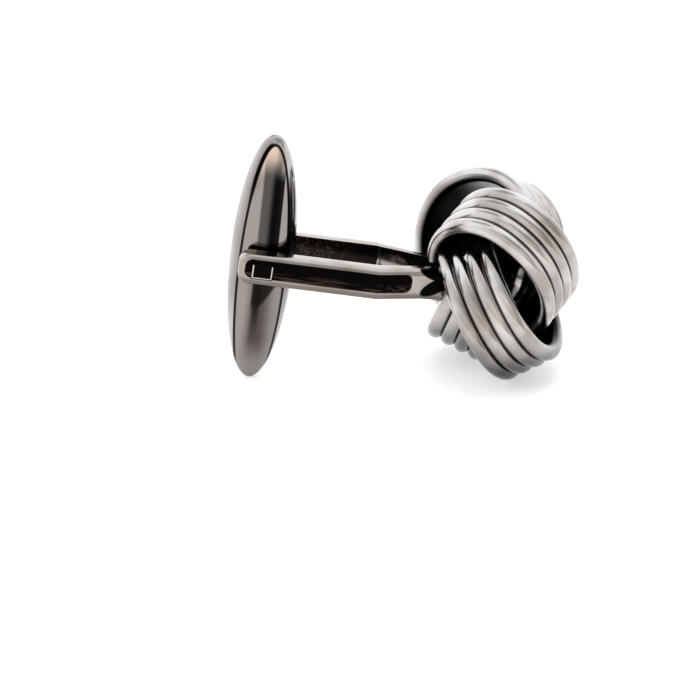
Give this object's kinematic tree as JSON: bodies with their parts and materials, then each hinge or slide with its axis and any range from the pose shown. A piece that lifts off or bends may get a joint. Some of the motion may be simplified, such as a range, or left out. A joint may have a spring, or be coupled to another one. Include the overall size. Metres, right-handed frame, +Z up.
{
  "type": "cufflink",
  "caption": "Love-knot cufflink: interlaced ribbed hoops on a forked post, whose torpedo toggle swivels on a pin to pass a shirt cuff's buttonholes and lock behind them.",
  "frame": {"origin": "on the resting surface, under the middle of the cufflink's box as it rests on the toggle's lower tip and two lobes of the knot", "axes": "+Z up from the surface, +X level, from the toggle towards the knot, +Y level, along the hinge pin"},
  "size_m": [0.0244, 0.0138, 0.0179],
  "materials": {
    "knot_metal": "gunmetal plating, polished to a satin shine",
    "post_metal": "dark gunmetal plating, mirror polished",
    "pin_metal": "dark gunmetal plating, mirror polished",
    "toggle_metal": "dark gunmetal plating, mirror polished"
  },
  "bodies": {
    "post": {"knot": "knot_metal", "post": "post_metal", "hinge_pin": "pin_metal"},
    "toggle": {"toggle": "toggle_metal"}
  },
  "joints": [
    {"name": "toggle_swivel", "type": "hinge", "parent": "post", "child": "toggle", "pos_m": [-0.00987, -0.00113, 0.00896], "axis": [0, 1, 0], "range_deg": [-87.8, 92.2]}
  ]
}
